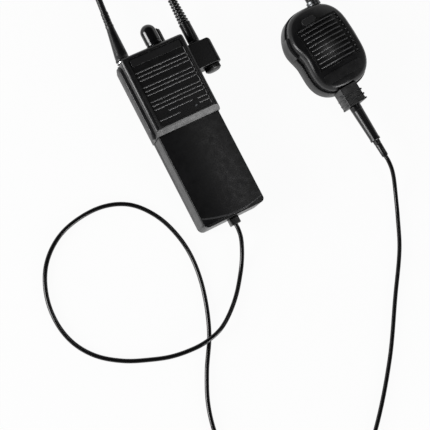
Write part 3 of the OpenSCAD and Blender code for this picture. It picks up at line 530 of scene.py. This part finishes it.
def mic_edge(turn, inset):
    """How far the microphone's outline lies from its middle, in a direction: a round-cornered box
    joined with the round grip at its left."""
    far = 0.0
    step = Vector((math.cos(turn), math.sin(turn)))
    for centre, radius in mic_rounds:
        centre = Vector(centre)
        along = centre.dot(step)
        off = centre.length_squared - along * along
        inside = (radius - inset) ** 2 - off
        if inside > 0:
            far = max(far, along + math.sqrt(inside))
    for half_w, half_l in mic_flats:
        if abs(step.x) > 1e-6:
            x = MIC_SHIFT + math.copysign(half_w - (inset if half_w > 20 else 0), step.x)
            y = x * step.y / step.x
            if x * step.x > 0 and abs(y) <= half_l:
                far = max(far, math.hypot(x, y))
        if abs(step.y) > 1e-6:
            y = math.copysign(half_l - inset, step.y)
            x = y * step.x / step.y
            if y * step.y > 0 and abs(x - MIC_SHIFT) <= half_w:
                far = max(far, math.hypot(x, y))
    return far


MIC_W, MIC_L, MIC_CORNER, MIC_SHIFT = 67.0, 96.0, 24.0, 1.5
mic_rounds = [((MIC_SHIFT + sx * (MIC_W / 2 - MIC_CORNER), sy * (MIC_L / 2 - MIC_CORNER)), MIC_CORNER)
              for sx in (-1, 1) for sy in (-1, 1)] + [((-10, 15), 26.0)]
mic_flats = [(MIC_W / 2, MIC_L / 2 - MIC_CORNER), (MIC_W / 2 - MIC_CORNER, MIC_L / 2)]


def dome(x, y, lift=0.0):
    """Height of the crowned front at a point of the microphone's own frame."""
    return MIC_TOP - DOME_R + math.sqrt((DOME_R + lift) ** 2 - x * x - y * y)


def to_table(bm):
    """Moves a bmesh from the microphone's own frame to its place on the table."""
    place = Matrix.Translation(mm(MIC.x, MIC.y, 0)) @ Matrix.Rotation(MIC_YAW, 4, "Z")
    bmesh.ops.transform(bm, matrix=place, verts=bm.verts)


def on_disc(u, v):
    """A point of a square, moved to a round disc."""
    return u * math.sqrt(1 - v * v / 2), v * math.sqrt(1 - u * u / 2)


def recess(x, y):
    """Depth of the sunk grille field on the front, its edge softened."""
    depth, soft = 1.1, 1.2
    half_run = 4.5 * RIB_PITCH
    outside = max(abs(x - 0.5) - 24.6, abs(y - (FIRST_RIB - half_run)) - (half_run + 2.2))
    return depth * min(1.0, max(0.0, 0.5 - outside / soft))


def mic_front():
    """Crowned front shell, rounded over at its rim, with the sunk grille field."""
    inset = 1.5
    bm = bmesh.new()
    bmesh.ops.create_grid(bm, x_segments=110, y_segments=140, size=1)
    rim_r = 4.2
    for v in bm.verts:
        x, y = on_disc(v.co.x, v.co.y)
        radius = math.hypot(x, y)
        turn = math.atan2(y, x)
        reach = mic_reach(turn, inset)
        x, y = radius * reach * math.cos(turn), radius * reach * math.sin(turn)
        edge = reach * (1 - radius)
        fall = rim_r - math.sqrt(max(0.0, rim_r ** 2 - max(0.0, rim_r - edge) ** 2))
        v.co = mm(x, y, dome(x, y) - fall - recess(x, y))
    rim = [e for e in bm.edges if e.is_boundary]
    skirt = bmesh.ops.extrude_edge_only(bm, edges=rim)
    for v in (g for g in skirt["geom"] if isinstance(g, bmesh.types.BMVert)):
        v.co.z = MIC_FRONT * MM
    to_table(bm)
    shell = settle(bm, "mic_front", "mic_front_shell", (), 50)
    wall = shell.modifiers.new("wall", "SOLIDIFY")
    wall.thickness = 2 * MM
    wall.offset = -1
    return shell


def mic_ribs():
    """Ten curved bars across the grille, each with a small stud at its right end."""
    bm = bmesh.new()
    for k in range(10):
        y = FIRST_RIB - k * RIB_PITCH
        for x0, x1 in ((-22, 20), (23.4, 25.2)):
            bar = box(bm, (x0, y - 0.6, -1.4), (x1, y + 0.6, 0.5))
            edges = list({e for v in bar for e in v.link_edges})
            long_edges = [e for e in edges if abs(e.verts[0].co.x - e.verts[1].co.x) > 0.001]
            bmesh.ops.subdivide_edges(bm, edges=long_edges, cuts=14 if x1 < 22 else 1, use_grid_fill=True)
    for v in bm.verts:
        v.co.z += dome(v.co.x / MM, v.co.y / MM) * MM
    to_table(bm)
    bars = settle(bm, "mic_ribs", "mic_front_shell", (), 40, 0.5, 4)
    # The ribs take the paler finish: their lighter colour is a painted highlight.
    bars.data.materials[0] = finishes["ribs_painted_highlight"]


def mic_back():
    """Rear shell: the outline drawn up from the table, its lower edge rounded."""
    bm = bmesh.new()
    bmesh.ops.create_circle(bm, cap_ends=True, segments=160, radius=1)
    for v in bm.verts:
        turn = math.atan2(v.co.y, v.co.x)
        reach = mic_reach(turn)
        v.co = mm(reach * math.cos(turn), reach * math.sin(turn), 0)
    up = bmesh.ops.extrude_face_region(bm, geom=list(bm.faces))
    raised = [g for g in up["geom"] if isinstance(g, bmesh.types.BMVert)]
    bmesh.ops.translate(bm, vec=mm(0, 0, MIC_BACK), verts=raised)
    low_edges = [e for e in bm.edges if all(abs(v.co.z) < 1e-7 for v in e.verts)]
    bmesh.ops.bevel(bm, geom=low_edges, offset=2.2 * MM, segments=4, profile=0.5, affect="EDGES", material=-1)
    top_edges = [e for e in bm.edges if all(abs(v.co.z - MIC_BACK * MM) < 1e-7 for v in e.verts)]
    bmesh.ops.bevel(bm, geom=top_edges, offset=0.8 * MM, segments=3, profile=0.5, affect="EDGES", material=-1)
    to_table(bm)
    settle(bm, "mic_back", "mic_rear_shell", (), 40)


def mic_cord_holder():
    """Block with three ridges round it and three round lumps on its left side."""
    bm = bmesh.new()
    x0, x1, z0, z1 = -14.2, 6.2, 7, 28
    box(bm, (x0, -67.5, z0), (x1, -45.8, z1 - 1))
    for y in (-67.5, -62.5, -57):
        box(bm, (x0 - 0.3, y, z0 - 0.4), (x1 + 0.8, y + 1.8, z1 + 0.6))
    for y in (-64.4, -59.2, -53.8):
        lump = bmesh.ops.create_uvsphere(bm, u_segments=20, v_segments=12, radius=1)["verts"]
        bmesh.ops.scale(bm, vec=mm(2.0, 2.5, 9.5), verts=lump)
        bmesh.ops.translate(bm, vec=mm(x0 + 0.9, y, (z0 + z1) / 2), verts=lump)
    to_table(bm)
    settle(bm, "mic_cord_holder", "mic_cord_block", (), 40, 0.5, 3)


def mic_turned_parts():
    """Strain relief, crimp sleeve, top collar and top boot, all turned."""
    down = Vector((math.sin(MIC_YAW), -math.cos(MIC_YAW), 0))
    parts = [
        ("mic_relief", "mic_strain_relief", (-5, -67.5), 1,
         [(0, 0), (5.6, 0), (6.2, 0.5), (6.2, 5.5), (5.9, 6), (6.05, 6.6), (5.15, 39.4), (5.5, 40.2),
          (5.5, 42), (5.1, 42.5), (0, 42.5)]),
        ("mic_sleeve", "mic_crimp", (-5, -110), 1,
         [(0, 0), (3.5, 0), (3.8, 0.4), (3.7, 4), (3.3, 4.4), (3.6, 5), (3.35, 16), (3.3, 18.2),
          (2.9, 19), (0, 19)]),
        ("mic_collar", "mic_top_collar", (16.4, 45), -1,
         [(0, 0), (7.2, 0), (7.2, 2.4), (6.8, 2.8), (7.2, 3.2), (7.2, 5.6), (6.8, 6), (0, 6)]),
        ("mic_boot", "mic_top_boot", (16.4, 51), -1,
         [(0, 0), (5.6, 0), (5.8, 0.5), (5.7, 5), (5.3, 5.5), (5.6, 6), (4.5, 25.6), (4.7, 26.4), (4.6, 27.6),
          (4.2, 28), (0, 28)]),
    ]
    for name, node, (x, y), way, profile in parts:
        turned(name, node, profile, mm(*mic_point(x, y)), down * way, 40, 35)


def fine_mic():
    for node, width in (("mic_gasket", 0.2), ("mic_ptt_bar", 0.6), ("mic_button", 0.8),
                        ("mic_label_plate", 0.15)):
        finer(node, width, 3)


# ---------- table and light ----------

def make_stage():
    bm = bmesh.new()
    bmesh.ops.create_grid(bm, x_segments=1, y_segments=1, size=6)
    mesh = bpy.data.meshes.new("table_top")
    bm.to_mesh(mesh)
    bm.free()
    table = bpy.data.objects.new("table_top", mesh)
    bpy.context.collection.objects.link(table)
    material, tree, shader = new_material("table_paper")
    tree.links.new(ramp(tree, noise(tree, 30, 3), [(0.3, (0.86, 0.86, 0.86)), (0.7, (0.9, 0.9, 0.9))]),
                   shader.inputs["Base Color"])
    shader.inputs["Roughness"].default_value = 0.9
    shader.inputs["Specular IOR Level"].default_value = 0.1
    glow = tree.nodes.new("ShaderNodeEmission")
    mix = tree.nodes.new("ShaderNodeMixShader")
    tree.links.new(seen_share(tree, 0.95), mix.inputs["Fac"])
    tree.links.new(shader.outputs["BSDF"], mix.inputs[1])
    tree.links.new(glow.outputs["Emission"], mix.inputs[2])
    tree.links.new(mix.outputs["Shader"], tree.nodes["Material Output"].inputs["Surface"])
    mesh.materials.append(material)


def seen_share(tree, share):
    """Share of plain white that camera, glossy and transmitted rays find."""
    path = tree.nodes.new("ShaderNodeLightPath")
    total = path.outputs["Is Camera Ray"]
    for name in ("Is Glossy Ray", "Is Transmission Ray"):
        add = tree.nodes.new("ShaderNodeMath")
        add.operation = "ADD"
        add.use_clamp = True
        tree.links.new(total, add.inputs[0])
        tree.links.new(path.outputs[name], add.inputs[1])
        total = add.outputs[0]
    part = tree.nodes.new("ShaderNodeMath")
    part.operation = "MULTIPLY"
    part.inputs[1].default_value = share
    tree.links.new(total, part.inputs[0])
    return part.outputs[0]


def soft_lamp(name, place, target, size, power):
    data = bpy.data.lights.new(name, "AREA")
    data.shape = "SQUARE"
    data.size = size
    data.energy = power
    lamp = bpy.data.objects.new(name, data)
    lamp.location = place
    lamp.rotation_euler = (Vector(target) - Vector(place)).to_track_quat("-Z", "Y").to_euler()
    bpy.context.collection.objects.link(lamp)


def make_light():
    """A dark ceiling over pale walls, so that black faces turned up stay black, and three soft lamps."""
    world = bpy.data.worlds.new("studio")
    world.use_nodes = True
    tree = world.node_tree
    coords = tree.nodes.new("ShaderNodeTexCoord")
    parts = tree.nodes.new("ShaderNodeSeparateXYZ")
    tree.links.new(coords.outputs["Generated"], parts.inputs["Vector"])
    walls = ramp(tree, parts.outputs["Z"], [(0.0, (1, 1, 1)), (0.22, (0.95, 0.95, 0.95)),
                                            (0.45, (0.1, 0.1, 0.1)), (0.75, (0.02, 0.02, 0.02))])
    tree.links.new(walls, tree.nodes["Background"].inputs["Color"])
    tree.nodes["Background"].inputs["Strength"].default_value = 1.0
    bpy.context.scene.world = world
    soft_lamp("left_window", (-1.5, 0.35, 0.5), (0, 0, 0.02), 0.8, 30)
    soft_lamp("foot_window", (0.55, -1.5, 0.45), (0.05, 0, 0.02), 0.6, 14)
    soft_lamp("sheen_window", (0.72, 0.1, 1.7), (0, -0.05, 0), 0.25, 1.6)


# ---------- everything ----------

set_camera()
finishes = make_finishes()
for node_name, node_object in frame["nodes"].items():
    node_object.data.materials.clear()
    node_object.data.materials.append(finishes[slot_of(node_name)])
main_lead = smooth_lead("main_lead", "lead_main", MAIN_ROUTE)
upper_lead = smooth_lead("upper_lead", "lead_upper", UPPER_ROUTE)
fine_radio()
grille()
foot_crease()
talk_key()
volume_knob()
antenna()
coin_fastener()
side_boots()
mic_front()
mic_ribs()
mic_back()
mic_cord_holder()
mic_turned_parts()
fine_mic()
make_stage()
make_light()
bpy.context.scene.view_settings.view_transform = "Standard"
